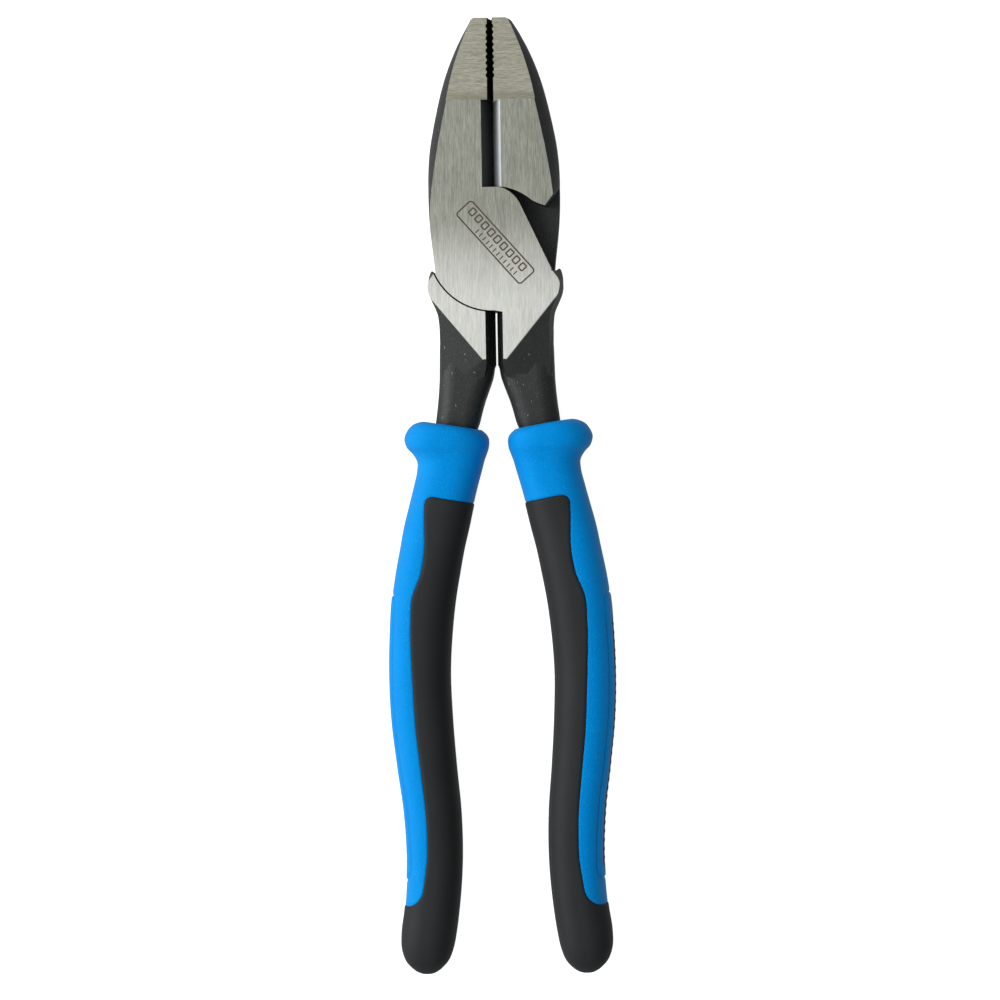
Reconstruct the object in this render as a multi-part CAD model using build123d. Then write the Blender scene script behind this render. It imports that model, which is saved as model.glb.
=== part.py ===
"""Lineman pliers: two identical forged halves, one hot rivet and two moulded grips.

The tool lies on its back. The origin is on the pivot axis, in the plane of the back ground
face. +Y runs along the tool towards the nose, +Z is the thickness, front face up, and the
two halves are the same forging turned half a turn about the tool's long axis.
All sizes are in millimetres.
"""
from build123d import *
from math import cos, radians, sin
import os

# ---------------------------------------------------------------- driving dimensions
HEAD_THICKNESS = 16.0
MID = HEAD_THICKNESS / 2
LAP_CLEARANCE = 0.04          # each lap stays this far from the middle plane
NOSE_TOP = 58.1               # pivot to nose tip
FAR = 30.0                    # larger than the head's half width

# Half widths of the head at heights above the pivot: in the middle plane and on the faces
HEAD_MIDDLE = [(14.9, -7), (15.6, -0.5), (16.4, 6), (16.8, 15), (16.4, 24),
               (14.8, 33), (12.5, 42.2), (8.9, 51.3), (5.0, NOSE_TOP)]
HEAD_FACE = [(14.6, -7), (15.3, -0.5), (15.9, 6), (15.3, 15), (13.9, 24),
             (12.1, 33), (9.9, 42.2), (6.9, 51.3), (4.2, NOSE_TOP)]

# Ground nose faces, a step below the body faces and thinner towards the tip
NOSE_BOTTOM = 37.2
NOSE_STEP = 0.3
NOSE_TIP_DROP = 1.7
NOSE_CORNER_RADIUS = 1.1

# Gripping faces and their cross teeth
GRIP_HALF_GAP = 0.03           # between the gripping faces in the middle plane
GRIP_FACE_HALF_GAP = 0.86      # and at the nose faces
TEETH_BOTTOM = 42.6
TOOTH_PITCH = 1.57
TOOTH_COUNT = 9
TOOTH_DEPTH = 0.35
TOOTH_RADIUS = 0.72

# Cutting knives: their edges lie in the middle plane
KNIFE_HALF_GAP = 0.03
KNIFE_BEVEL_WIDTH = 2.45
KNIFE_BOTTOM = 15.05
KNIFE_TOP = NOSE_BOTTOM

# Pivot joint
DISC_RADIUS = 16.2
DISC_SEAT_RADIUS = 16.6
JAW_FOOT_RADIUS = 15.3
NOTCH = (DISC_RADIUS * cos(radians(204)), DISC_RADIUS * sin(radians(204)))
RIVET_RADIUS = 4.0
RIVET_HEAD_RADIUS = 6.2
RIVET_HEAD_DEPTH = 2.6
RIVET_CLEARANCE = 0.05

# Shoulders of the handles: outer edge and inner edge, in the middle plane and on the faces
SLIT_HALF_GAP = 0.2
SHOULDER_MIDDLE = [(14.76, -5.97), (15.3, -6.1), (16.2, -5.55), (17.1, -7.2), (17.2, -9.5),
                   (16.7, -12.1), (15.5, -14.9), (14.8, -18), (14.6, -22)]
SHOULDER_FACE = [(14.4, -6.3), (14.9, -6.45), (15.8, -7.5), (16.6, -8.8), (16.7, -10.8),
                 (16.0, -13.0), (14.8, -15.6), (13.9, -18.6), (13.7, -22)]
ROOT_MIDDLE = [(14.3, -33), (1.5, -33), (SLIT_HALF_GAP, -29.8), (SLIT_HALF_GAP, -12)]
ROOT_FACE = [(13.4, -33), (3.4, -33), (2.2, -29.4), (2.2, -12)]

# Lines on the faces that the dark forging falls away from, leaving the ground pads:
# start, end, fall per millimetre
PAD_CORNER = (16.9, -11.6)
PAD_FALLS = [(PAD_CORNER, (2.7, -28.8), 0.3), (PAD_CORNER, (10.6, -33), 0.8),
             (PAD_CORNER, (12.7, -33), 1.7), ((4, -28.5), (0, -28.5), 0.5)]

# Tang, top to bottom: height, inner x, outer x, thickness, corner radius
TANG_STATIONS = [(-22, 1.6, 14.1, 11.4, 3.6), (-27, 1.0, 14.5, 12.0, 4.0),
                 (-32, 0.9, 14.6, 12.2, 4.2), (-37, 2.5, 14.9, 12.0, 4.2),
                 (-42, 4.1, 15.5, 11.6, 4.2), (-47, 6.0, 16.1, 10.4, 3.4)]

# Core inside the grip, with the same columns
CORE_STATIONS = [(-46, 6.4, 15.6, 9.0, 2.0), (-64, 11.0, 18.4, 8.0, 2.0),
                 (-84, 15.2, 22.4, 8.0, 2.0), (-107, 17.6, 24.7, 8.0, 2.0),
                 (-132, 16.3, 23.3, 7.6, 2.0), (-154, 15.0, 21.4, 7.2, 2.0)]

# Grips, top to bottom: height, inner x, outer x, thickness, corner radius
GRIP_STATIONS = [(-46, 3.9, 19.4, 17.4, 5.5), (-50, 2.9, 20.6, 17.6, 6.0),
                 (-55.4, 3.9, 21.0, 17.4, 6.5), (-64.6, 6.4, 23.1, 18.0, 7.0),
                 (-76.8, 9.3, 25.9, 19.0, 7.4), (-89, 11.6, 28.1, 19.8, 7.4),
                 (-98, 12.7, 28.7, 20.0, 7.2), (-107.3, 13.3, 29.0, 20.0, 7.0),
                 (-119.5, 13.0, 28.6, 19.8, 7.0), (-131.7, 12.2, 27.3, 19.2, 6.8),
                 (-144, 11.2, 25.8, 18.6, 6.6), (-156, 11.1, 25.3, 18.2, 6.4),
                 (-168.3, 12.1, 26.1, 18.2, 6.4), (-177.4, 13.4, 27.1, 18.0, 6.4),
                 (-184.9, 13.9, 27.2, 16.8, 6.2)]
GRIP_END_RADIUS = 5.6
GUARD_TOP = -45.6
GUARD_DEPTH = 6.4
GUARD_INNER = 2.3
GUARD_OUTER = 24.3
GUARD_THICKNESS = 20.0
GUARD_CORNER = 8.0
GUARD_EDGE_RADIUS = 2.9
GUARD_SLANT = 8.0

# Soft overmould: its edge on the faces, from the top inner corner down to the end cap
SOFT_TOP = -63.6
SOFT_EDGE = [(17.2, SOFT_TOP), (18.6, -66.5), (18.7, -77), (19.8, -82.9), (22.1, -88.5),
             (22.5, -95), (22.2, -110), (21.6, -122.5), (20.3, -134.7), (19.3, -147),
             (19.4, -155), (20.4, -162), (23.0, -166.4), (FAR, -167.2)]
LINER_WALL = 1.5              # rigid shell left around the steel core

# Soft inlay let into the outer flank of the shell
INLAY_TOP = -94.0
INLAY_BOTTOM = -158.0
INLAY_HEIGHT = 6.4
INLAY_DEPTH = 1.3


def polar(radius, degrees):
    """Point at a radius and an angle about the pivot."""
    return (radius * cos(radians(degrees)), radius * sin(radians(degrees)))


def prism(face, bottom, top):
    """A flat outline pulled up from one height to another."""
    return Pos(0, 0, bottom) * extrude(face, amount=top - bottom, dir=(0, 0, 1))


def half_turn(shape):
    """The same shape turned half a turn about the tool's long axis."""
    return shape.rotate(Axis((0, 0, MID), (0, 1, 0)), 180)


def stations_loft(stations, ruled=False):
    """A bar through rounded rectangles that stand across the tool's long axis."""
    sections = []
    for height, inner, outer, thickness, radius in stations:
        centre = Vector((inner + outer) / 2, height, MID)
        plane = Plane(origin=centre, x_dir=(1, 0, 0), z_dir=(0, -1, 0))
        sections.append(plane * RectangleRounded(outer - inner, thickness, radius))
    return loft(sections, ruled=ruled)


# ---------------------------------------------------------------- forged half
def head_section(half_widths, height):
    """The whole head's outline at one height through the thickness."""
    right = Spline(*[(x, y) for x, y in half_widths])
    left = Spline(*[(-x, y) for x, y in half_widths])
    top = Line(right @ 1, left @ 1)
    bottom = Line(right @ 0, left @ 0)
    return Pos(0, 0, height) * make_face([right, top, left, bottom])


def head_blank():
    """Barrel-sided blank that both jaws are cut from."""
    faces = [head_section(HEAD_FACE, 0), head_section(HEAD_MIDDLE, MID),
             head_section(HEAD_FACE, HEAD_THICKNESS)]
    blank = loft(faces)
    edges = blank.edges().filter_by_position(Axis.Y, NOSE_TOP - 0.01, NOSE_TOP + 0.01)
    corners = [e for e in edges if abs(e.center().X) > 1]
    blank = fillet(corners, NOSE_CORNER_RADIUS)
    for cut in nose_face_cuts():
        blank -= cut
    return blank


def nose_face_cuts():
    """Wedges that leave the ground nose faces, front and back."""
    profile = Polyline((NOSE_BOTTOM, HEAD_THICKNESS - NOSE_STEP),
                       (NOSE_TOP + 1, HEAD_THICKNESS - NOSE_TIP_DROP),
                       (NOSE_TOP + 1, HEAD_THICKNESS + 1),
                       (NOSE_BOTTOM, HEAD_THICKNESS + 1), close=True)
    plane = Plane(origin=(-FAR, 0, 0), x_dir=(0, 1, 0), z_dir=(1, 0, 0))
    front = extrude(plane * make_face(profile), amount=2 * FAR, dir=(1, 0, 0))
    return [front, half_turn(front)]


def front_lap_face():
    """Front of the joint: the jaw, the pivot disc and the bridge to the shoulder."""
    disc_bottom = polar(DISC_RADIUS, 271.0)
    inner = -KNIFE_HALF_GAP
    corner = (inner, KNIFE_BOTTOM)
    turn = (2.6, 14.82)
    waist = (7.34, 10.09)
    seat = (14.76, -5.97)
    edges = [
        Polyline(corner, (inner, NOSE_TOP + 1), (-FAR, NOSE_TOP + 1), (-FAR, NOTCH[1]), NOTCH),
        ThreePointArc(NOTCH, polar(DISC_RADIUS, 238), disc_bottom),
        Polyline(disc_bottom, (9, -18), (15, -10), seat),
        ThreePointArc(seat, (11.4, 1.3), waist),
        ThreePointArc(waist, (5.3, 13.1), turn),
        ThreePointArc(turn, (1.3, 14.99), corner),
    ]
    return make_face(edges)


def jaw_face():
    """Full-thickness part of the jaw, above the path of the other half's lap."""
    inner = -KNIFE_HALF_GAP
    foot = (inner, JAW_FOOT_RADIUS)
    hook = (-10.1, 11.5)
    tip = (-13.4, 10.1)
    edges = [
        Polyline(foot, (inner, NOSE_TOP + 1), (-FAR, NOSE_TOP + 1), (-FAR, 15.2), (-16.6, 14.6)),
        Polyline((-16.6, 14.6), (-15.5, 12.9), tip),
        ThreePointArc(tip, (-11.8, 10.65), hook),
        ThreePointArc(hook, polar(JAW_FOOT_RADIUS, 111), foot),
    ]
    return make_face(edges)


def v_cut(depth, top_width, bottom, top):
    """Wedges in front of and behind a line in the middle plane, on the left jaw."""
    profile = Polyline((1, MID), (-depth, MID), (-top_width, HEAD_THICKNESS),
                       (-top_width, HEAD_THICKNESS + 1), (1, HEAD_THICKNESS + 1), close=True)
    plane = Plane(origin=(0, top, 0), x_dir=(1, 0, 0), z_dir=(0, -1, 0))
    front = extrude(plane * make_face(profile), amount=top - bottom, dir=(0, -1, 0))
    return front + mirror(front, about=Plane.XY.offset(MID))


def knife_cut():
    """Bevels in front of and behind the cutting edge."""
    return v_cut(KNIFE_HALF_GAP, KNIFE_BEVEL_WIDTH, KNIFE_BOTTOM, KNIFE_TOP)


def tooth_groove(height):
    """Scallops that leave the cross teeth, deeper towards the front and back faces."""
    start = Vector(TOOTH_RADIUS - GRIP_HALF_GAP, height, MID)
    end = Vector(TOOTH_RADIUS - GRIP_FACE_HALF_GAP - TOOTH_DEPTH, height, HEAD_THICKNESS)
    bar = Cylinder(TOOTH_RADIUS, HEAD_THICKNESS, align=(Align.CENTER, Align.CENTER, Align.MIN))
    front = Plane(origin=start, z_dir=end - start) * bar
    return front + mirror(front, about=Plane.XY.offset(MID))


def grip_face_cut():
    """Gap beside the gripping face, with its row of cross teeth."""
    gap = v_cut(GRIP_HALF_GAP, GRIP_FACE_HALF_GAP, NOSE_BOTTOM, NOSE_TOP + 1)
    for i in range(TOOTH_COUNT):
        gap += tooth_groove(TEETH_BOTTOM + (i + 0.5) * TOOTH_PITCH)
    return gap


def shoulder_section(outer_points, root_points, height):
    """Outline of the handle's thick root at one height through the thickness."""
    outer = Spline(*outer_points)
    root = Polyline(outer_points[-1], *root_points, outer_points[0])
    return Pos(0, 0, height) * make_face([outer, root])


def fall_cuts(start, end, fall):
    """Wedges above and below a surface that falls away from a line on each ground face."""
    run = 24.0
    outward = Vector(start[1] - end[1], end[0] - start[0]).normalized()
    profile = Polyline((0, MID), (run, MID - fall * run), (run, MID + 2), (0, MID + 2), close=True)
    plane = Plane(origin=(start[0], start[1], MID), x_dir=outward,
                  z_dir=outward.cross(Vector(0, 0, 1)))
    front = extrude(plane * make_face(profile), amount=50, both=True)
    return front + mirror(front, about=Plane.XY.offset(MID))


def shoulder_block():
    """Thick drafted root of the handle beside the joint, with its ground pads."""
    faces = [shoulder_section(SHOULDER_FACE, ROOT_FACE, 0),
             shoulder_section(SHOULDER_MIDDLE, ROOT_MIDDLE, MID),
             shoulder_section(SHOULDER_FACE, ROOT_FACE, HEAD_THICKNESS)]
    block = loft(faces, ruled=True)
    for start, end, fall in PAD_FALLS:
        block -= fall_cuts(start, end, fall)
    return block


def rivet(grow=0.0):
    """Rivet with a countersunk head at each ground face, or its hole when grown."""
    top = HEAD_THICKNESS
    shank = RIVET_RADIUS + grow
    head = RIVET_HEAD_RADIUS + grow
    profile = Polyline((0, 0), (head, 0), (shank, RIVET_HEAD_DEPTH),
                       (shank, top - RIVET_HEAD_DEPTH), (head, top), (0, top), close=True)
    return revolve(Plane.XZ * make_face(profile), Axis.Z)


def forged_half():
    """The half with the left jaw, the front lap and the right handle, without its rivet hole."""
    lap_bottom = MID + LAP_CLEARANCE
    lap = prism(front_lap_face(), lap_bottom, HEAD_THICKNESS)
    below_notch = Pos(0, NOTCH[1] - FAR, MID) * Box(3 * FAR, 2 * FAR, 3 * FAR)
    head = head_blank() & (prism(jaw_face(), 0, HEAD_THICKNESS) + lap - below_notch)
    disc = lap & below_notch
    shoulder = shoulder_block() - prism(Circle(DISC_SEAT_RADIUS), -1, lap_bottom)
    half = head + disc
    half += shoulder
    half += stations_loft(TANG_STATIONS)
    half += stations_loft(CORE_STATIONS, ruled=True)
    half -= knife_cut()
    half -= grip_face_cut()
    return half


# ---------------------------------------------------------------- grips
def guard():
    """Flange above the hand, leaning with the slanted mouth of the grip."""
    centre = Vector((GUARD_INNER + GUARD_OUTER) / 2, GUARD_TOP, MID)
    plane = Plane(origin=centre, x_dir=(1, 0, 0), z_dir=(0, -1, 0))
    outline = RectangleRounded(GUARD_OUTER - GUARD_INNER, GUARD_THICKNESS, GUARD_CORNER)
    plate = extrude(plane * outline, amount=GUARD_DEPTH, dir=(0, -1, 0))
    ends = plate.faces().filter_by(Axis.Y).edges()
    plate = fillet(ends, GUARD_EDGE_RADIUS)
    return plate.rotate(Axis(centre, (0, 0, 1)), GUARD_SLANT)


def grip_envelope():
    """Outer form of one grip, guard included."""
    body = stations_loft(GRIP_STATIONS)
    end_face = body.faces().sort_by(Axis.Y)[0]
    body = fillet(end_face.edges(), GRIP_END_RADIUS)
    mouth = Pos(13, -40, MID) * Rot(0, 0, GUARD_SLANT) * Box(60, 10.4, 60)
    return body - mouth + guard()


def soft_region():
    """Everything on the soft side of the overmould's edge."""
    edge = Spline(*SOFT_EDGE)
    rest = Polyline(SOFT_EDGE[-1], (FAR, -190), (0, -190), (0, SOFT_TOP), SOFT_EDGE[0])
    return prism(make_face([edge, rest]), -5, HEAD_THICKNESS + 5)


def grown_core():
    """Rigid wall of the shell around the steel core."""
    stations = [(height, inner - LINER_WALL, outer + LINER_WALL,
                 thickness + 2 * LINER_WALL, radius + LINER_WALL)
                for height, inner, outer, thickness, radius in CORE_STATIONS]
    stations[-1] = (stations[-1][0] - LINER_WALL, *stations[-1][1:])
    return stations_loft(stations, ruled=True)


def flank_inlay(envelope):
    """Long soft strip that follows the outer flank of the grip."""
    middle = (INLAY_TOP + INLAY_BOTTOM) / 2
    length = INLAY_TOP - INLAY_BOTTOM
    window = Pos(FAR / 2 + 12, middle, MID) * Box(FAR, length, INLAY_HEIGHT)
    inner = envelope.moved(Location((-INLAY_DEPTH, 0, 0)))
    strip = (envelope & window) - inner
    return strip.solids().sort_by(SortBy.VOLUME)[-1]


def grip_pieces(core):
    """Rigid shell, soft overmould and flank inlay of the right grip."""
    envelope = grip_envelope() - core
    soft = envelope & soft_region()
    soft -= grown_core()
    inlay = flank_inlay(envelope)
    shell = envelope - soft - inlay
    return {"grip_shell": shell, "grip_overmould": soft, "flank_inlay": inlay}


# ---------------------------------------------------------------- the whole tool
def build():
    """Every node by name."""
    half = forged_half()
    front = half - rivet(grow=RIVET_CLEARANCE)
    rear = half_turn(half) - rivet()
    nodes = {"front_half_forging": front, "rear_half_forging": rear, "pivot_rivet": rivet()}
    for name, piece in grip_pieces(half).items():
        nodes["right_" + name] = piece
        nodes["left_" + name] = half_turn(piece)
    return nodes


os.makedirs("parts", exist_ok=True)
for node, shape in build().items():
    export_step(shape, f"parts/{node}.step")
    print(node, len(shape.solids()), round(shape.volume, 1))
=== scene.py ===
"""Looks of the lineman pliers: forged steel halves, rivet, and moulded two-material grips."""
import math

import bmesh
import bpy
import numpy as np
from mathutils import Matrix, Vector


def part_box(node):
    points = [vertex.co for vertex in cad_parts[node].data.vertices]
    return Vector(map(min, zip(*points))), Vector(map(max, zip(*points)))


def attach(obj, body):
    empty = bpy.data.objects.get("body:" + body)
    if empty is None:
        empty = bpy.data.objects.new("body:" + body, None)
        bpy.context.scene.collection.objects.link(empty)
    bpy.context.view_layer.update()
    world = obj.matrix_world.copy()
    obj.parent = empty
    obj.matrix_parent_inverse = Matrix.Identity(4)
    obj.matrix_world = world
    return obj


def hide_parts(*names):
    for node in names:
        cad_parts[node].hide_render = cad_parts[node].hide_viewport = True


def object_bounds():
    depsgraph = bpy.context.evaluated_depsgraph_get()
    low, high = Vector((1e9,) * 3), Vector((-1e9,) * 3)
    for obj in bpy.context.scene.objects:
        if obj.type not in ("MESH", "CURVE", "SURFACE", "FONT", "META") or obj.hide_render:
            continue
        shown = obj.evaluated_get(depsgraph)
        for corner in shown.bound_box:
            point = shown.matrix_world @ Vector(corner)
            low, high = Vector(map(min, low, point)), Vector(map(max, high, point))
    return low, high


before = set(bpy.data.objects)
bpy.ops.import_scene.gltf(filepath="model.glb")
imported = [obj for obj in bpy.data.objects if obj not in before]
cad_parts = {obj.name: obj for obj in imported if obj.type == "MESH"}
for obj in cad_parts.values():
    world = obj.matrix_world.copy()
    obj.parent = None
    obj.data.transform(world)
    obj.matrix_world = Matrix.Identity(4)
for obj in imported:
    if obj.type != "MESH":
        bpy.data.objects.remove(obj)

cad_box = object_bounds()

# ---------------------------------------------------------------- driving values
# In metres, but for the groups that say mm.
MM = 0.001
FACE_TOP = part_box("front_half_forging")[1].z
MID = FACE_TOP / 2
NOSE_BOTTOM = 37.2 * MM        # step between body faces and nose faces
KNIFE_BOTTOM = 15.05 * MM
KNIFE_REACH = 2.5 * MM         # the knives' bevels lie within this distance of the middle
KNIFE_EDGE = 0.15 * MM         # the cutting edges lie within this distance of the middle
TEETH_REACH = 1.3 * MM         # the teeth lie within this distance of the middle
CLOSED_GAP = 0.05 * MM         # the jaws' gap on each side is smaller than this, and is closed
RIVET_REACH = 7 * MM           # edges this near the rivet's axis stay crisp
RIVET_SPREAD = 0.049 * MM
EDGE_ROUND = 0.16 * MM
SHARP_TURN = math.radians(28)  # edges that turn more than this are broken and shaded sharp
GROUND_TURN = math.radians(3)  # the same limit for shading beside a ground face
FLAT_TURN = math.radians(0.6)  # faces that turn less than this are one face
LEVEL_NORMAL = 0.9995          # normals of ground faces point up or down at least this much

# Right grip's sections: y, inner x, outer x, half thickness (mm), slope of the section in y
GRIP_ROWS = [
    (-50.5, 5.4, 16.8, 5.9, 0.16), (-46.2, 5.3, 17.0, 6.3, 0.165),
    (-45.0, 4.7, 18.2, 7.4, 0.165), (-45.3, 3.6, 20.6, 9.0, 0.16),
    (-46.6, 2.6, 22.9, 9.8, 0.12), (-48.6, 2.25, 24.2, 9.97, 0.05),
    (-50.6, 2.4, 23.7, 9.7, 0.02), (-52.4, 2.9, 22.0, 9.0, 0),
    (-54.3, 3.6, 21.0, 8.6, 0), (-56.5, 4.2, 21.1, 8.55, 0),
    (-60, 5.2, 21.9, 8.8, 0), (-64.6, 6.4, 23.1, 9.0, 0),
    (-70.7, 7.8, 24.7, 9.3, 0), (-76.8, 9.3, 25.9, 9.6, 0),
    (-82.9, 10.5, 27.1, 9.8, 0), (-89, 11.6, 28.0, 9.9, 0),
    (-98, 12.7, 28.65, 9.96, 0), (-107.3, 13.3, 28.95, 9.97, 0),
    (-119.5, 13.0, 28.6, 9.9, 0), (-131.7, 12.2, 27.3, 9.6, 0),
    (-143.9, 11.2, 25.8, 9.3, 0), (-156.1, 11.1, 25.3, 9.1, 0),
    (-168.3, 12.1, 26.1, 9.1, 0), (-174, 12.9, 26.9, 9.1, 0),
    (-178, 13.7, 26.9, 8.7, 0), (-181, 14.8, 26.0, 7.8, 0),
    (-183.2, 16.6, 24.2, 5.8, 0), (-184.5, 18.6, 22.2, 3.0, 0),
    (-184.85, 20.2, 20.6, 0.4, 0)]
GRIP_SQUARENESS = 2.6          # exponent of the section's superellipse
RING_STEP = 0.45               # mm between sections
RING_POINTS = 180
RING_COLUMNS = 4               # columns of a row that count as distance along the grip

# Edge of the soft layer on the grip's faces: y, x (mm)
SOFT_EDGE = [(-60, 18.6), (-68, 18.7), (-77, 18.75), (-82.9, 19.8), (-88.5, 22.0), (-95, 22.5),
             (-110, 22.2), (-122.5, 21.6), (-134.7, 20.3), (-147, 19.3), (-155, 19.4),
             (-162, 20.4), (-168, 21.4)]
SOFT_TOP = -64.6
SOFT_TOP_X = 8.0               # the top edge has its height here
SOFT_SLANT = 0.19              # and rises towards the outer side
SHELL_END = -166.9
SOFT_CORNER = 2.6
SHELL_CORNER = 4.0
SOFT_ENDS_SPLIT = -120         # above it the edge is worked out from its top, below from its end
SOFT_ROUND = 0.7               # width of the soft layer's rounded edge
SOFT_STEP = 0.35               # the rounded edge falls this far
SHELL_DEPTH = 0.2              # the shell lies this far below the grip's outer form
LAYER_PLUNGE = 1.2             # a layer's hidden part sinks this far at most
SHELL_PLUNGE = 0.9             # the shell's part below the soft layer

# Soft strip in the outer flank (mm)
INLAY_TOP = -94.0
INLAY_BOTTOM = -158.0
INLAY_HALF_HEIGHT = 3.2
INLAY_CORNER = 2.0
INLAY_DEPTH = 0.16
INLAY_RIB_PITCH = 2.2
INLAY_RIB_HEIGHT = 0.14
PANEL_TOP = -88.0              # raised panel of the shell around the strip
PANEL_BOTTOM = -160.5
PANEL_HALF_HEIGHT = 6.5
PANEL_CORNER = 2.5
PANEL_RAISE = 0.18
PANEL_RAMP = 0.3
SEAM_DEPTH = 0.24
SEAM_WIDTH = 0.38
SEAM_BLUR = 0.3                # width over which the painted shade along the seam fades on each side
OFF_FLANK = -5.0               # distance given to points that aren't on the outer flank

# Etched mark on the joint's front face (mm)
MARK_MIDDLE = (0.7, 1.0)
MARK_ANGLE = -48.8             # degrees
MARK_LENGTH = 24.5
MARK_WIDTH = 5.6
MARK_CORNER = 1.0
MARK_LINE = 0.38
MARK_SINK = 0.02
MARK_RISE = 0.012
BOX_COUNT = 9
BOX_START = (-9.6, 0.9)        # middle of the first box, along and across the mark
BOX_PITCH = 2.35
BOX_SIZE = (1.75, 2.1)
BOX_CORNER = 0.4
BAR_COUNT = 12
BAR_START = (-5.2, -1.5)
BAR_PITCH = 1.3
BAR_SIZE = (0.3, 1.25)
CORNER_STEPS = 6

# Colours, each pair from its darker to its lighter tone
PLAIN_STEEL = ((0.18, 0.184, 0.157), (0.39, 0.40, 0.342))
POLISHED_STEEL = ((0.50, 0.51, 0.47), (0.74, 0.745, 0.71))
NOSE_STEEL = ((0.22, 0.215, 0.17), (0.50, 0.49, 0.40))
# painted reflection: the knife bevel that mirrors the light, coloured near white
BEVEL_PAINTED_REFLECTION = ((0.56, 0.62, 0.65), (0.84, 0.90, 0.92))
# painted shade on the nose beside the step
STEP_PAINTED_SHADE = (0.17, 0.165, 0.115)
OXIDE = ((0.009, 0.0108, 0.0102), (0.021, 0.025, 0.0235))
WORN_OXIDE = (0.26, 0.28, 0.27)
SHELL_BLUE = ((0.0, 0.21, 0.60), (0.0, 0.245, 0.66))
# painted glints on the moulded texture
SHELL_PAINTED_GLINT = (0.04, 0.38, 0.84)
# painted shade in the seam's groove
SEAM_PAINTED_SHADE = (0.0, 0.08, 0.26)
SOFT_BLACK = ((0.009, 0.0105, 0.0115), (0.0145, 0.0165, 0.0175))
MARK_BROWN = ((0.030, 0.020, 0.011), (0.085, 0.056, 0.031))

# Surfaces
STEEL_ROUGHNESS = (0.30, 0.46)
OXIDE_ROUGHNESS = (0.46, 0.62)
SCRATCH_DEPTH = 0.014 * MM
POLISH_FULL = -15 * MM         # the ground faces are polished below this y
POLISH_NONE = 12 * MM          # and plain above this one

# Room strength along an axis: the axis, its two limits, the strength at each
ROOM_RAMPS = (("X", -1, 1, 0.9, 0.34), ("Z", -0.2, 0.2, 0.72, 1.0))
FLOOR_HALF = 3.0

# Lights: name, place, size, watts
LIGHTS = (("key", (-1.25, 0.1, 0.62), 1.0, 13), ("high left", (-0.6, 0.1, 1.0), 0.5, 3.5))
LIGHT_TARGET = (0, -0.06, 0)

# Camera
CAMERA_AZIMUTH = math.radians(4.5)
CAMERA_LEAN = math.radians(1.0)
CAMERA_DISTANCE = 1.062
CAMERA_AIM = Vector((0.0001, -0.0642, MID))
CAMERA_LENS = 150
CAMERA_CLIP = 0.05


# ---------------------------------------------------------------- material graphs
class Graph:
    """A material's node tree, with short calls for the nodes that the materials share."""

    def __init__(self, name):
        self.material = bpy.data.materials.new(name)
        self.material.use_nodes = True
        self.tree = self.material.node_tree
        self.shader = self.tree.nodes["Principled BSDF"]
        self.coords = self.tree.nodes.new("ShaderNodeTexCoord").outputs
        axes = self.node("ShaderNodeSeparateXYZ", {0: self.coords["Object"]})
        self.x, self.y, self.z = axes.outputs
        self.nz = self.node("ShaderNodeSeparateXYZ", {0: self.coords["Normal"]}).outputs[2]

    def node(self, kind, inputs, **settings):
        node = self.tree.nodes.new(kind)
        for key, value in settings.items():
            setattr(node, key, value)
        for key, value in inputs.items():
            if isinstance(value, bpy.types.NodeSocket):
                self.tree.links.new(value, node.inputs[key])
            else:
                node.inputs[key].default_value = value
        return node

    def math(self, operation, a, b=0.0):
        return self.node("ShaderNodeMath", {0: a, 1: b}, operation=operation).outputs[0]

    def above(self, value, low, high):
        """0 below low, 1 above high, smooth between."""
        inputs = {"Value": value, "From Min": low, "From Max": high}
        node = self.node("ShaderNodeMapRange", inputs, interpolation_type="SMOOTHSTEP")
        return node.outputs["Result"]

    def below(self, value, low, high):
        """1 below low, 0 above high, smooth between."""
        return self.math("SUBTRACT", 1.0, self.above(value, low, high))

    def both(self, *masks):
        total = masks[0]
        for mask in masks[1:]:
            total = self.math("MULTIPLY", total, mask)
        return total

    def either(self, *masks):
        total = masks[0]
        for mask in masks[1:]:
            total = self.math("MAXIMUM", total, mask)
        return total

    def noise(self, scale, stretch=(1, 1, 1), detail=3.0, roughness=0.55):
        """Noise with features of about 1 / scale metres, longer along axes stretched below 1."""
        place = self.node("ShaderNodeMapping", {"Vector": self.coords["Object"], "Scale": stretch})
        inputs = {"Vector": place.outputs[0], "Scale": scale, "Detail": detail,
                  "Roughness": roughness}
        return self.node("ShaderNodeTexNoise", inputs).outputs["Fac"]

    def mix(self, factor, a, b):
        """Colour a where the factor is 0 and b where it is 1."""
        node = self.node("ShaderNodeMix", {0: factor}, data_type="RGBA")
        for index, value in ((6, a), (7, b)):
            if isinstance(value, bpy.types.NodeSocket):
                self.tree.links.new(value, node.inputs[index])
            else:
                node.inputs[index].default_value = (*value, 1.0)
        return node.outputs[2]

    def blend(self, factor, a, b):
        """Number a where the factor is 0 and b where it is 1."""
        return self.node("ShaderNodeMix", {0: factor, 2: a, 3: b}).outputs[0]

    def bump(self, height, distance, strength):
        inputs = {"Height": height, "Distance": distance, "Strength": strength}
        return self.node("ShaderNodeBump", inputs).outputs[0]

    def set(self, **inputs):
        """Connects or sets the shader's inputs, given with underscores for spaces."""
        for key, value in inputs.items():
            socket = self.shader.inputs[key.replace("_", " ")]
            if isinstance(value, bpy.types.NodeSocket):
                self.tree.links.new(value, socket)
            else:
                socket.default_value = value


def ground_grain(graph, along):
    """Fine scratches along one axis, left by the grinding belt."""
    fine = (1.0, 0.045, 1.0) if along == "y" else (0.07, 1.0, 1.0)
    hair = graph.noise(6400, fine, detail=3.0, roughness=0.8)
    band = graph.noise(2400, fine, detail=2.0)
    return graph.math("ADD", graph.math("MULTIPLY", hair, 0.8), graph.math("MULTIPLY", band, 0.2))


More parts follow.
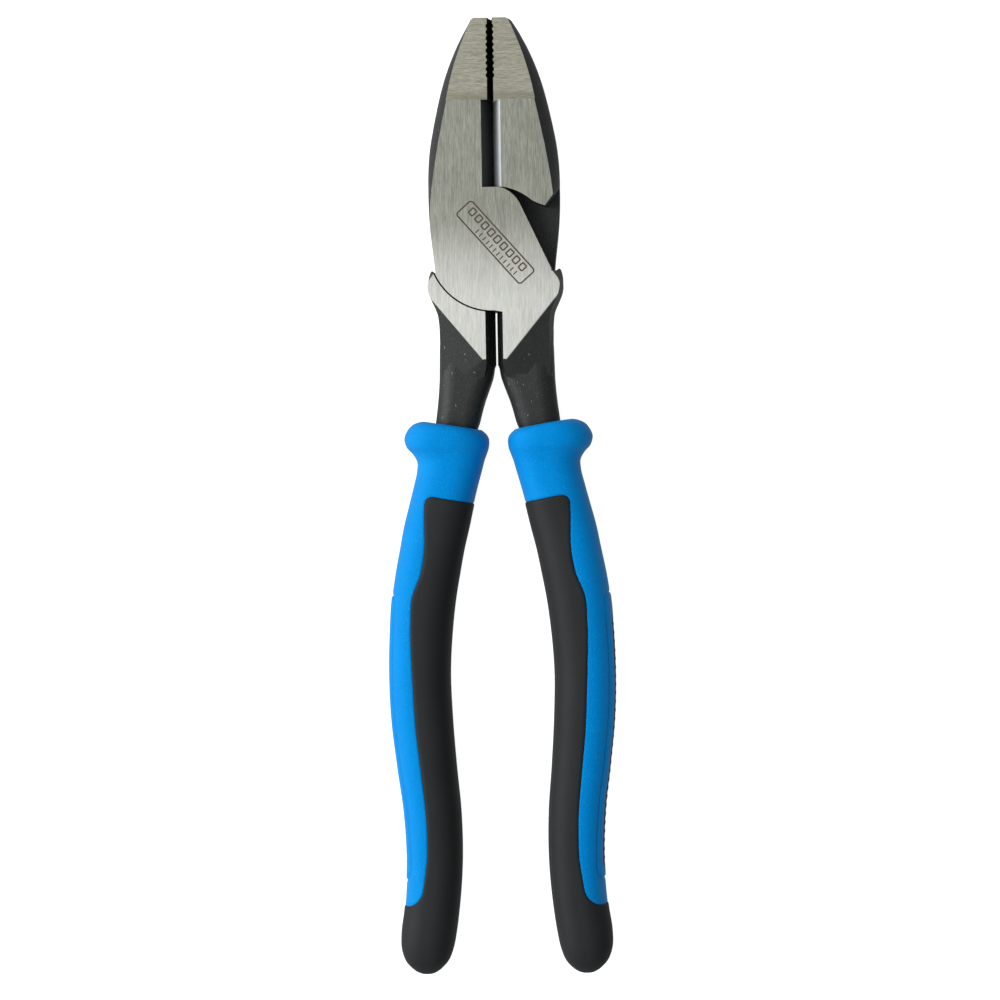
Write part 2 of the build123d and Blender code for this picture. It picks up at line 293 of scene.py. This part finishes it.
def ground_steel(graph, grain):
    """Colour of bright ground steel: plain on the jaws, whiter where the joint is polished."""
    cloud = graph.noise(90, detail=2.0)
    tone = graph.above(graph.math("ADD", grain, graph.math("MULTIPLY", cloud, 0.15)), 0.34, 0.80)
    plain = graph.mix(tone, *PLAIN_STEEL)
    polished = graph.mix(tone, *POLISHED_STEEL)
    return graph.mix(graph.below(graph.y, POLISH_FULL, POLISH_NONE), plain, polished)


def forged_steel(name, painted_reflection_up):
    """Black oxide forging with bright ground faces and nose, and one knife bevel painted bright as a
    reflection of the light.
    """
    g = Graph(name)
    height = g.math("ABSOLUTE", g.math("SUBTRACT", g.z, MID))
    facing = g.math("ABSOLUTE", g.nz)
    on_nose = g.above(g.y, NOSE_BOTTOM - 0.02 * MM, NOSE_BOTTOM + 0.02 * MM)
    on_level = g.above(height, MID - 0.06 * MM, MID - 0.03 * MM)
    on_face = g.both(g.above(facing, 0.93, 0.975), g.either(on_level, on_nose))
    in_knife = g.both(g.below(g.math("ABSOLUTE", g.x), KNIFE_REACH, KNIFE_REACH + 0.1 * MM),
                      g.above(g.y, KNIFE_BOTTOM - 0.1 * MM, KNIFE_BOTTOM),
                      g.below(g.y, NOSE_BOTTOM, NOSE_BOTTOM + 0.1 * MM),
                      g.below(facing, 0.6, 0.7))
    # Painted reflection: one knife bevel of each half is coloured near white and made less metallic,
    # as if lit by the light it mirrors; the other keeps the dark oxide.
    if painted_reflection_up:
        side = g.above(g.z, MID - 0.01 * MM, MID)
    else:
        side = g.below(g.z, MID, MID + 0.01 * MM)
    bevel_reflection_mask = g.both(in_knife, side)

    grain = g.blend(on_nose, ground_grain(g, "y"), ground_grain(g, "x"))
    nose = g.mix(g.above(grain, 0.3, 0.72), *NOSE_STEEL)
    steel = g.mix(on_nose, ground_steel(g, grain), nose)
    # Painted shade: the nose is darkened just beyond the step from the body faces.
    nose_step_painted_shade = g.both(on_nose, g.below(g.y, NOSE_BOTTOM + 1.2 * MM, NOSE_BOTTOM + 2.6 * MM))
    steel = g.mix(g.math("MULTIPLY", nose_step_painted_shade, 0.42), steel, STEP_PAINTED_SHADE)
    bevel_reflection_colour = g.mix(g.noise(900, (1, 0.4, 1), detail=4.0), *BEVEL_PAINTED_REFLECTION)

    speck = g.above(g.noise(2600, detail=3.0, roughness=0.8), 0.58, 0.74)
    scratch = g.above(g.noise(1500, (1.0, 0.3, 1.0), detail=1.0), 0.745, 0.77)
    patch = g.noise(260, detail=4.0)
    oxide = g.mix(patch, *OXIDE)
    worn = g.either(g.math("MULTIPLY", speck, 0.30), g.math("MULTIPLY", scratch, 0.6))
    oxide = g.mix(worn, oxide, WORN_OXIDE)

    rough_steel = g.blend(grain, *STEEL_ROUGHNESS)
    rough_oxide = g.blend(patch, *OXIDE_ROUGHNESS)
    scratches = g.bump(grain, SCRATCH_DEPTH, 0.7)
    skin = g.bump(g.noise(2000, detail=5.0), 0.09 * MM, 0.9)
    normal = g.node("ShaderNodeMix", {0: on_face, 4: skin, 5: scratches}, data_type="VECTOR")
    colour = g.mix(bevel_reflection_mask, g.mix(on_face, oxide, steel), bevel_reflection_colour)
    g.set(Base_Color=colour,
          Metallic=g.blend(bevel_reflection_mask, g.blend(on_face, 0.3, 1.0), 0.12),
          Roughness=g.blend(on_face, rough_oxide, rough_steel),
          Normal=normal.outputs[1])
    return g.material


def rivet_steel():
    """Ground steel of the rivet's heads, in line with the grain around it."""
    g = Graph("rivet_steel_look")
    grain = ground_grain(g, "y")
    g.set(Base_Color=ground_steel(g, grain), Metallic=1.0,
          Roughness=g.blend(grain, *STEEL_ROUGHNESS), Normal=g.bump(grain, SCRATCH_DEPTH, 0.7))
    return g.material


def shell_plastic():
    """Blue moulded plastic with a fine spark-eroded texture, painted glints in lighter specks, and
    painted shade along the seam round the panel.
    """
    g = Graph("grip_shell_look")
    texture = g.noise(2600, detail=3.0, roughness=0.6)
    cloud = g.noise(120, detail=3.0)
    # Painted glints: scattered lighter specks stand in for light catching the fine texture.
    speck = g.above(g.noise(2600, detail=2.0), 0.56, 0.72)
    colour = g.mix(cloud, *SHELL_BLUE)
    colour = g.mix(g.math("MULTIPLY", speck, 0.3), colour, SHELL_PAINTED_GLINT)
    from_middle = g.math("ABSOLUTE", g.math("SUBTRACT", g.z, MID))
    line = PANEL_HALF_HEIGHT
    # Painted shade along the seam groove round the raised panel.
    seam = g.both(g.above(from_middle, (line - SEAM_BLUR) * MM, line * MM),
                  g.below(from_middle, line * MM, (line + SEAM_BLUR) * MM),
                  g.above(g.y, PANEL_BOTTOM * MM, (PANEL_BOTTOM + 2) * MM),
                  g.below(g.y, (PANEL_TOP - 8) * MM, (PANEL_TOP - 4) * MM))
    colour = g.mix(g.math("MULTIPLY", seam, 0.75), colour, SEAM_PAINTED_SHADE)
    g.set(Base_Color=colour, Roughness=g.blend(texture, 0.42, 0.6),
          Specular_IOR_Level=0.3, Specular_Tint=(0.05, 0.5, 1.0, 1.0),
          Normal=g.bump(texture, 0.14 * MM, 0.9))
    return g.material


def soft_rubber():
    """Black soft-touch rubber, nearly matt."""
    g = Graph("grip_soft_look")
    texture = g.noise(3200, detail=3.0, roughness=0.6)
    cloud = g.noise(70, detail=3.0)
    colour = g.mix(cloud, *SOFT_BLACK)
    g.set(Base_Color=colour, Roughness=g.blend(texture, 0.55, 0.72), Specular_IOR_Level=0.25,
          Normal=g.bump(texture, 0.03 * MM, 0.45))
    return g.material


def etched_mark():
    """Brown-black oxide left by the etching of a mark."""
    g = Graph("etched_mark_look")
    patch = g.noise(1500, detail=3.0)
    g.set(Base_Color=g.mix(patch, *MARK_BROWN), Metallic=0.0,
          Roughness=g.blend(patch, 0.5, 0.7), Normal=g.bump(patch, 0.01 * MM, 0.5))
    return g.material


# ---------------------------------------------------------------- mesh helpers
def add_object(name, mesh, body, material):
    """Puts a finished mesh in the scene, riding on its body."""
    piece = bpy.data.objects.new(name, mesh)
    bpy.context.scene.collection.objects.link(piece)
    mesh.materials.clear()
    mesh.materials.append(material)
    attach(piece, body)
    return piece


def cubic(t, start, end, tangent_a, tangent_b):
    """Smooth curve from start to end with a tangent at each, read at the share t of the way."""
    return ((2 * t**3 - 3 * t**2 + 1) * start + (t**3 - 2 * t**2 + t) * tangent_a
            + (3 * t**2 - 2 * t**3) * end + (t**3 - t**2) * tangent_b)


def smooth_path(rows, step):
    """Points about one step apart on a smooth curve through the rows."""
    rows = np.array(rows, float)
    spans = np.linalg.norm(np.diff(rows[:, :RING_COLUMNS], axis=0), axis=1)
    knots = np.concatenate([[0], np.cumsum(spans)])
    slopes = np.gradient(rows, knots, axis=0)
    count = int(knots[-1] / step) + 1
    at = np.linspace(0, knots[-1], count)
    low = np.clip(np.searchsorted(knots, at, side="right") - 1, 0, len(rows) - 2)
    width = (knots[low + 1] - knots[low])[:, None]
    t = (at - knots[low])[:, None] / width
    return cubic(t, rows[low], rows[low + 1], slopes[low] * width, slopes[low + 1] * width)


def smooth_value(table, at):
    """A smooth curve through a short table of (y, value), read at many y."""
    points = np.array(sorted(table), float)
    knots, values = points[:, 0], points[:, 1]
    slopes = np.gradient(values, knots)
    at = np.clip(at, knots[0], knots[-1])
    low = np.clip(np.searchsorted(knots, at, side="right") - 1, 0, len(knots) - 2)
    width = knots[low + 1] - knots[low]
    t = (at - knots[low]) / width
    return cubic(t, values[low], values[low + 1], slopes[low] * width, slopes[low + 1] * width)


def corner_distance(u, v, radius):
    """Distance inside a corner whose sides are u = 0 and v = 0, with a rounded point."""
    inside = np.minimum(u, v)
    rounded = radius - np.hypot(np.maximum(radius - u, 0), np.maximum(radius - v, 0))
    return np.where((u < radius) & (v < radius), rounded, inside)


def grip_grid():
    """Points of the right grip's outer form in mm, one row of points for each section."""
    path = smooth_path(GRIP_ROWS, RING_STEP)
    y, inner, outer, half, lean = (path[:, i][:, None] for i in range(5))
    angle = np.linspace(0, 2 * math.pi, RING_POINTS, endpoint=False)[None, :]
    power = 2 / GRIP_SQUARENESS
    across = np.sign(np.cos(angle)) * np.abs(np.cos(angle))**power
    up = np.sign(np.sin(angle)) * np.abs(np.sin(angle))**power
    reach = (outer - inner) / 2
    x = (inner + outer) / 2 + reach * across
    z = half * up
    y = y + lean * (x - (inner + outer) / 2)
    return np.stack([x, y, z], axis=-1)


def grid_normals(grid):
    """Outward normals of a tube of points."""
    along = np.gradient(grid, axis=0)
    around = np.roll(grid, -1, axis=1) - np.roll(grid, 1, axis=1)
    normals = np.cross(around, along)
    length = np.linalg.norm(normals, axis=-1, keepdims=True)
    return normals / np.maximum(length, 1e-9)


def soft_distance(grid):
    """Distance inside the soft layer's area; negative on the shell's area."""
    x, y = grid[..., 0], grid[..., 1]
    edge = smooth_value(SOFT_EDGE, y)
    top = SOFT_TOP + SOFT_SLANT * (x - SOFT_TOP_X)
    from_top = corner_distance(edge - x, top - y, SOFT_CORNER)
    from_end = -corner_distance(x - edge, y - SHELL_END, SHELL_CORNER)
    return np.where(y > SOFT_ENDS_SPLIT, from_top, from_end)


def flank_distance(grid, top, bottom, half_height, corner):
    """Distance inside a rounded rectangle on the outer flank, which runs from top to bottom."""
    x, y, z = grid[..., 0], grid[..., 1], grid[..., 2]
    along = (top - bottom) / 2 - np.abs(y - (top + bottom) / 2)
    distance = corner_distance(half_height - np.abs(z), along, corner)
    outer_side = x > smooth_value(SOFT_EDGE, y)
    return np.where(outer_side, distance, OFF_FLANK)


def tube_mesh(name, grid, mirrored):
    """Closed mesh through a tube of points in mm; the left one is the right one half turned."""
    rings, around = grid.shape[:2]
    points = grid.reshape(-1, 3) * MM
    if mirrored:
        points = points * np.array([-1, 1, -1])
    points = points + np.array([0, 0, MID])
    faces = []
    for i in range(rings - 1):
        for j in range(around):
            k = (j + 1) % around
            row, following = i * around, (i + 1) * around
            faces.append((row + j, row + k, following + k, following + j))
    faces.append(tuple(range(around - 1, -1, -1)))
    faces.append(tuple((rings - 1) * around + j for j in range(around)))
    mesh = bpy.data.meshes.new(name)
    mesh.from_pydata(points.tolist(), [], faces)
    tidy = bmesh.new()
    tidy.from_mesh(mesh)
    bmesh.ops.recalc_face_normals(tidy, faces=tidy.faces)
    tidy.to_mesh(mesh)
    tidy.free()
    mesh.shade_smooth()
    return mesh


# ---------------------------------------------------------------- grips
def soft_offset(distance):
    """Rounded edge of the soft layer, then a plunge below the shell."""
    ramp = np.clip((SOFT_ROUND - distance) / SOFT_ROUND, 0, 1)
    rounded = -SOFT_STEP * (1 - np.sqrt(1 - ramp**2))
    return rounded - np.clip(-distance * 3, 0, LAYER_PLUNGE)


def shell_offset(distance, panel, inlay):
    """The shell's own level, sunk under the soft layer and in the strip's pocket."""
    level = -SHELL_DEPTH - np.clip(distance * 1.5, 0, SHELL_PLUNGE)
    raised = PANEL_RAISE * np.clip(panel / PANEL_RAMP, 0, 1)
    seam = SEAM_DEPTH * np.exp(-(panel / SEAM_WIDTH)**2)
    return level + raised - seam - np.clip(inlay * 2, 0, 1.0)


def inlay_offset(grid, distance):
    """Low cross ribs on the strip, with plain ends."""
    phase = (grid[..., 1] - INLAY_TOP) / INLAY_RIB_PITCH * 2 * math.pi
    ribs = 0.5 + 0.5 * np.clip(np.cos(phase) * 2.0, -1, 1)
    fade = np.clip((distance - 0.5) / 0.4, 0, 1)
    plunge = np.clip((0.25 - distance) * 3, 0, LAYER_PLUNGE)
    return -INLAY_DEPTH + INLAY_RIB_HEIGHT * ribs * fade - plunge


def make_grips(materials):
    """Shell, soft layer and flank strip of both grips."""
    grid = grip_grid()
    normals = grid_normals(grid)
    soft = soft_distance(grid)
    panel = flank_distance(grid, PANEL_TOP, PANEL_BOTTOM, PANEL_HALF_HEIGHT, PANEL_CORNER)
    strip = flank_distance(grid, INLAY_TOP, INLAY_BOTTOM, INLAY_HALF_HEIGHT, INLAY_CORNER)
    shell_points = grid + normals * shell_offset(soft, panel, strip)[..., None]
    soft_points = grid + normals * soft_offset(soft)[..., None]
    strip_points = grid + normals * inlay_offset(grid, strip)[..., None]
    lowest, highest = grid[:, :, 1].min(axis=1), grid[:, :, 1].max(axis=1)
    # Each layer keeps only the rings that show, and a few more that sink below its neighbour.
    first_soft = np.argmax(lowest < SOFT_TOP + 2.5)
    last_shell = np.argmax(highest < SHELL_END - 1.5)
    first_strip = np.argmax(highest < INLAY_TOP + 0.8)
    last_strip = np.argmax(highest < INLAY_BOTTOM - 0.8)
    layers = {
        "grip_shell": shell_points[:last_shell],
        "grip_overmould": soft_points[first_soft:],
        "flank_inlay": strip_points[first_strip:last_strip],
    }
    for side, body, mirrored in (("right", "front_half", False), ("left", "rear_half", True)):
        for layer, points in layers.items():
            slot = "grip_shell" if layer == "grip_shell" else "grip_soft"
            mesh = tube_mesh(f"{side}_{layer}_look", points, mirrored)
            piece = add_object(f"{side}_{layer}_look", mesh, body, materials[slot])
            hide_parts(f"{side}_{layer}")


# ---------------------------------------------------------------- forged halves
def make_forging(node, body, material):
    """The forging, its jaw's gap closed and its edges broken but for teeth, knives and rivet."""
    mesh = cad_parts[node].data.copy()
    for vertex in mesh.vertices:
        if abs(vertex.co.x) < CLOSED_GAP and vertex.co.y > KNIFE_BOTTOM:
            vertex.co.x = 0
    work = bmesh.new()
    work.from_mesh(mesh)
    bmesh.ops.remove_doubles(work, verts=work.verts, dist=0.002 * MM)
    bmesh.ops.dissolve_limit(work, angle_limit=FLAT_TURN, verts=work.verts, edges=work.edges)
    weight = work.edges.layers.float.new("bevel_weight_edge")
    for edge in work.edges:
        middle = (edge.verts[0].co + edge.verts[1].co) / 2
        at_rivet = math.hypot(middle.x, middle.y) < RIVET_REACH
        reach = TEETH_REACH if middle.y > NOSE_BOTTOM else KNIFE_EDGE
        gripping = abs(middle.x) < reach and middle.y > KNIFE_BOTTOM
        turn = edge.calc_face_angle(0.0)
        ground = any(abs(face.normal.z) > LEVEL_NORMAL for face in edge.link_faces)
        edge[weight] = 1.0 if turn > SHARP_TURN and not (at_rivet or gripping) else 0.0
        edge.smooth = turn < (GROUND_TURN if ground else SHARP_TURN)
    work.to_mesh(mesh)
    work.free()
    for polygon in mesh.polygons:
        polygon.use_smooth = True
    piece = add_object(node + "_look", mesh, body, material)
    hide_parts(node)
    bevel = piece.modifiers.new("edges", "BEVEL")
    bevel.width = EDGE_ROUND
    bevel.segments = 2
    bevel.limit_method = "WEIGHT"
    level = piece.modifiers.new("flat faces", "WEIGHTED_NORMAL")
    level.keep_sharp = True


def make_rivet(material):
    """The rivet, spread at its front head to meet the lap around it, as hammering leaves it."""
    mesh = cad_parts["pivot_rivet"].data.copy()
    for vertex in mesh.vertices:
        radius = math.hypot(vertex.co.x, vertex.co.y)
        if vertex.co.z > MID and radius > 0:
            spread = (radius + RIVET_SPREAD) / radius
            vertex.co.x *= spread
            vertex.co.y *= spread
    piece = add_object("pivot_rivet_look", mesh, "rear_half", material)
    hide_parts("pivot_rivet")


# ---------------------------------------------------------------- etched mark
def bar(x, y, length, width):
    """Corners of a small bar, given by its middle and its size in mm."""
    half_length, half_width = length / 2, width / 2
    return [(x - half_length, y - half_width), (x + half_length, y - half_width),
            (x + half_length, y + half_width), (x - half_length, y + half_width)]


def rounded_loop(x, y, length, width, radius):
    """Closed loop of points round a rounded rectangle, in mm."""
    points = []
    for turn, (sx, sy) in enumerate(((1, 1), (-1, 1), (-1, -1), (1, -1))):
        corner = (x + sx * (length / 2 - radius), y + sy * (width / 2 - radius))
        for step in range(CORNER_STEPS + 1):
            angle = math.radians(90 * (turn + step / CORNER_STEPS))
            points.append((corner[0] + radius * math.cos(angle), corner[1] + radius * math.sin(angle)))
    return points


def make_mark(material):
    """Generic etched label on the joint: a rounded frame, a row of boxes and a row of bars."""
    low, high = FACE_TOP - MARK_SINK * MM, FACE_TOP + MARK_RISE * MM
    angle = math.radians(MARK_ANGLE)
    work = bmesh.new()

    def loop(points, z):
        verts = []
        for u, v in points:
            x = MARK_MIDDLE[0] + u * math.cos(angle) - v * math.sin(angle)
            y = MARK_MIDDLE[1] + u * math.sin(angle) + v * math.cos(angle)
            verts.append(work.verts.new((x * MM, y * MM, z)))
        return verts

    def wall(a, b):
        for i in range(len(a)):
            k = (i + 1) % len(a)
            work.faces.new((a[i], a[k], b[k], b[i]))

    rings = [(0, 0, MARK_LENGTH, MARK_WIDTH, MARK_CORNER)]
    rings += [(BOX_START[0] + BOX_PITCH * i, BOX_START[1], *BOX_SIZE, BOX_CORNER)
              for i in range(BOX_COUNT)]
    for x, y, length, width, corner in rings:
        outer = rounded_loop(x, y, length, width, corner)
        inner = rounded_loop(x, y, length - 2 * MARK_LINE, width - 2 * MARK_LINE, corner - MARK_LINE)
        walls = [loop(outer, low), loop(outer, high), loop(inner, high), loop(inner, low)]
        for a, b in zip(walls, walls[1:] + walls[:1]):
            wall(a, b)
    for i in range(BAR_COUNT):
        corners = bar(BAR_START[0] + BAR_PITCH * i, BAR_START[1], *BAR_SIZE)
        bottom, top = loop(corners, low), loop(corners, high)
        wall(bottom, top)
        work.faces.new(top)
        work.faces.new(bottom[::-1])
    bmesh.ops.recalc_face_normals(work, faces=work.faces)
    mesh = bpy.data.meshes.new("etched_mark")
    work.to_mesh(mesh)
    work.free()
    add_object("etched_mark", mesh, "front_half", material)


# ---------------------------------------------------------------- stage, lights, camera
def make_stage():
    """Plain pale floor under the tool."""
    mesh = bpy.data.meshes.new("floor")
    level = cad_box[0].z
    signs = ((-1, -1), (1, -1), (1, 1), (-1, 1))
    corners = [(sx * FLOOR_HALF, sy * FLOOR_HALF, level) for sx, sy in signs]
    mesh.from_pydata(corners, [], [(0, 1, 2, 3)])
    floor = bpy.data.objects.new("floor", mesh)
    bpy.context.scene.collection.objects.link(floor)
    g = Graph("floor_look")
    g.set(Base_Color=(0.5, 0.5, 0.5, 1.0), Roughness=0.9, Specular_IOR_Level=0.1,
          Emission_Color=(1.0, 1.0, 1.0, 1.0), Emission_Strength=0.9)
    mesh.materials.append(g.material)
    floor.visible_diffuse = False
    floor.visible_glossy = False


def add_light(name, place, size, watts):
    """Soft square light aimed at the tool."""
    light = bpy.data.lights.new(name, "AREA")
    light.size = size
    light.energy = watts
    lamp = bpy.data.objects.new(name, light)
    lamp.location = place
    toward = Vector(LIGHT_TARGET) - Vector(place)
    lamp.rotation_euler = toward.to_track_quat("-Z", "Y").to_euler()
    bpy.context.scene.collection.objects.link(lamp)


def make_room():
    """White room, brighter on the left and dimmer below the horizon."""
    world = bpy.data.worlds.new("room")
    world.use_nodes = True
    tree = world.node_tree
    direction = tree.nodes.new("ShaderNodeTexCoord").outputs["Generated"]
    axes = tree.nodes.new("ShaderNodeSeparateXYZ")
    tree.links.new(direction, axes.inputs[0])
    factors = []
    for axis, *limits in ROOM_RAMPS:
        ramp = tree.nodes.new("ShaderNodeMapRange")
        for name, value in zip(("From Min", "From Max", "To Min", "To Max"), limits):
            ramp.inputs[name].default_value = value
        tree.links.new(axes.outputs[axis], ramp.inputs["Value"])
        factors.append(ramp.outputs[0])
    strength = tree.nodes.new("ShaderNodeMath")
    strength.operation = "MULTIPLY"
    tree.links.new(factors[0], strength.inputs[0])
    tree.links.new(factors[1], strength.inputs[1])
    background = tree.nodes["Background"]
    background.inputs["Color"].default_value = (1, 1, 1, 1)
    tree.links.new(strength.outputs[0], background.inputs["Strength"])
    bpy.context.scene.world = world


def make_lights():
    """Broad low key from the left, and a soft light high on the same side."""
    for name, place, size, watts in LIGHTS:
        add_light(name, place, size, watts)


def make_camera():
    """Long lens straight above, slightly to the right, with the tool leaning a little left."""
    camera = bpy.data.cameras.new("camera")
    camera.lens = CAMERA_LENS
    camera.clip_start = CAMERA_CLIP
    holder = bpy.data.objects.new("camera", camera)
    toward = Vector((math.sin(CAMERA_AZIMUTH), 0, math.cos(CAMERA_AZIMUTH)))
    holder.location = CAMERA_AIM + toward * CAMERA_DISTANCE
    right = Vector((math.cos(CAMERA_AZIMUTH), 0, -math.sin(CAMERA_AZIMUTH)))
    up = Vector((0, 1, 0))
    x_axis = right * math.cos(CAMERA_LEAN) - up * math.sin(CAMERA_LEAN)
    y_axis = up * math.cos(CAMERA_LEAN) + right * math.sin(CAMERA_LEAN)
    holder.rotation_euler = Matrix((x_axis, y_axis, toward)).transposed().to_euler()
    bpy.context.scene.collection.objects.link(holder)
    bpy.context.scene.camera = holder


# ---------------------------------------------------------------- build
slots = {"grip_shell": shell_plastic(), "grip_soft": soft_rubber()}
make_forging("front_half_forging", "front_half", forged_steel("front_forging_look", False))
make_forging("rear_half_forging", "rear_half", forged_steel("rear_forging_look", True))
make_rivet(rivet_steel())
make_grips(slots)
make_mark(etched_mark())
make_stage()
make_room()
make_lights()
make_camera()
bpy.context.scene.view_settings.view_transform = "Standard"
